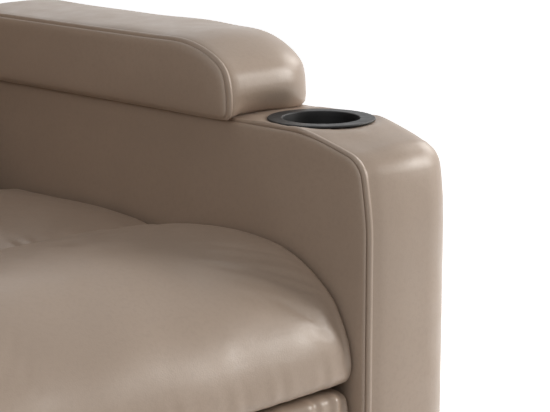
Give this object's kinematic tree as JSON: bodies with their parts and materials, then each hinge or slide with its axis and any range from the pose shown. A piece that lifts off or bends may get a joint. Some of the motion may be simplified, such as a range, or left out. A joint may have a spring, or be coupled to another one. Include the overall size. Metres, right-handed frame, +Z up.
{
  "type": "cinema recliner seat",
  "caption": "Single cinema recliner seat in smooth beige faux leather with padded arms, a cup holder in each arm, a reclining back and a fold-out footrest.",
  "frame": {"origin": "on the floor under the middle of the chair's box", "axes": "+Z up, the chair faces -Y, +X towards the sitter's left arm"},
  "size_m": [0.818, 0.914, 1.0395],
  "materials": {
    "leather": "smooth beige faux leather, soft satin sheen",
    "panel_leather": "smooth beige faux leather on the flat panels",
    "black_plastic": "moulded black, satin",
    "painted_steel": "black powder coat",
    "zinc_steel": "zinc plated",
    "timber": "bare plywood",
    "webbing": "woven elastic webbing",
    "cable_sheath": "extruded sheath"
  },
  "bodies": {
    "frame": {"base_frame": "painted_steel", "side_plate_left": "painted_steel", "side_plate_right": "painted_steel", "seat_box": "timber", "seat_straps": "webbing", "seat_rear_cushion": "leather", "seat_front_roll": "leather", "arm_frame_left": "timber", "arm_frame_right": "timber", "arm_inner_panel_left": "panel_leather", "arm_inner_panel_right": "panel_leather", "arm_outer_panel_left": "panel_leather", "arm_outer_panel_right": "panel_leather", "arm_band_left": "leather", "arm_band_right": "leather", "arm_pad_left": "leather", "arm_pad_right": "leather", "cup_holder_left": "black_plastic", "cup_holder_right": "black_plastic", "arm_feet": "black_plastic", "arm_spacers": "painted_steel", "arm_bolts": "zinc_steel", "rear_apron": "panel_leather", "plate_rivets": "zinc_steel", "tube_bushes": "black_plastic", "drive_springs": "zinc_steel", "release_bezel": "black_plastic", "paddle_pin": "zinc_steel", "paddle_spring": "zinc_steel", "release_cable": "cable_sheath", "trip_lever_pin": "zinc_steel"},
    "drive": {"drive_tube": "painted_steel", "crank_rivets": "zinc_steel"},
    "drive_rods": {"drive_links": "painted_steel"},
    "rear_links": {"rear_link_left": "painted_steel", "rear_link_right": "painted_steel", "rear_link_rivets": "zinc_steel"},
    "cross_links": {"cross_link_left": "painted_steel", "cross_link_right": "painted_steel", "cross_link_rivets": "zinc_steel"},
    "rockers": {"rocker_links": "painted_steel"},
    "front_links": {"front_link_left": "painted_steel", "front_link_right": "painted_steel"},
    "footrest": {"footrest_bracket_left": "painted_steel", "footrest_bracket_right": "painted_steel", "bracket_rivets": "zinc_steel", "footrest_board": "timber", "footrest_screws": "zinc_steel", "footrest_pad": "leather"},
    "back": {"back_frame": "timber", "back_hinge_left": "painted_steel", "back_hinge_right": "painted_steel", "back_hinge_screws": "zinc_steel", "back_straps": "webbing", "lumbar_cushion": "leather", "middle_cushion": "leather", "head_cushion": "leather", "back_shell": "panel_leather"},
    "paddle": {"release_paddle": "black_plastic"},
    "trip": {"trip_lever": "painted_steel"}
  },
  "joints": [
    {"name": "footrest_extend", "type": "hinge", "parent": "frame", "child": "rear_links", "pos_m": [0, -0.349, 0.268], "axis": [-1, 0, 0], "range_deg": [0, 90]},
    {"name": "drive_turn", "type": "hinge", "parent": "frame", "child": "drive", "pos_m": [0, -0.199, 0.188], "axis": [-1, 0, 0], "range_deg": [0, 90]},
    {"name": "drive_rod_pivot", "type": "hinge", "parent": "drive", "child": "drive_rods", "pos_m": [0, -0.199, 0.128], "axis": [-1, 0, 0], "range_deg": [-90, 0]},
    {"name": "cross_link_pivot", "type": "hinge", "parent": "rear_links", "child": "cross_links", "pos_m": [0, -0.349, 0.118], "axis": [-1, 0, 0], "range_deg": [-130, 0]},
    {"name": "rocker_pivot", "type": "hinge", "parent": "frame", "child": "rockers", "pos_m": [0, -0.33555, 0.24445], "axis": [-1, 0, 0], "range_deg": [0, 90]},
    {"name": "front_link_pivot", "type": "hinge", "parent": "rear_links", "child": "front_links", "pos_m": [0, -0.349, 0.053], "axis": [-1, 0, 0], "range_deg": [-130, 0]},
    {"name": "footrest_tilt", "type": "hinge", "parent": "front_links", "child": "footrest", "pos_m": [0, -0.38026, 0.23026], "axis": [-1, 0, 0], "range_deg": [0, 130]},
    {"name": "back_recline", "type": "hinge", "parent": "frame", "child": "back", "pos_m": [0, 0.20397, 0.352], "axis": [-1, 0, 0], "range_deg": [0, 38]},
    {"name": "paddle_pull", "type": "hinge", "parent": "frame", "child": "paddle", "pos_m": [-0.397, -0.14, 0.382], "axis": [0, -1, 0], "range_deg": [0, 25], "stiffness_Nm_per_rad": 0.4, "springref_deg": -5.73},
    {"name": "trip_turn", "type": "hinge", "parent": "frame", "child": "trip", "pos_m": [-0.2085, -0.19, 0.255], "axis": [-1, 0, 0], "range_deg": [0, 12]}
  ],
  "couplings": [
    {"joint": "drive_turn", "follows": "footrest_extend", "ratio": 1},
    {"joint": "drive_rod_pivot", "follows": "footrest_extend", "ratio": -1},
    {"joint": "cross_link_pivot", "follows": "footrest_extend", "ratio": -1.4444},
    {"joint": "rocker_pivot", "follows": "footrest_extend", "ratio": 1},
    {"joint": "front_link_pivot", "follows": "footrest_extend", "ratio": -1.4444},
    {"joint": "footrest_tilt", "follows": "footrest_extend", "ratio": 1.4444},
    {"joint": "trip_turn", "follows": "paddle_pull", "ratio": 0.48}
  ]
}
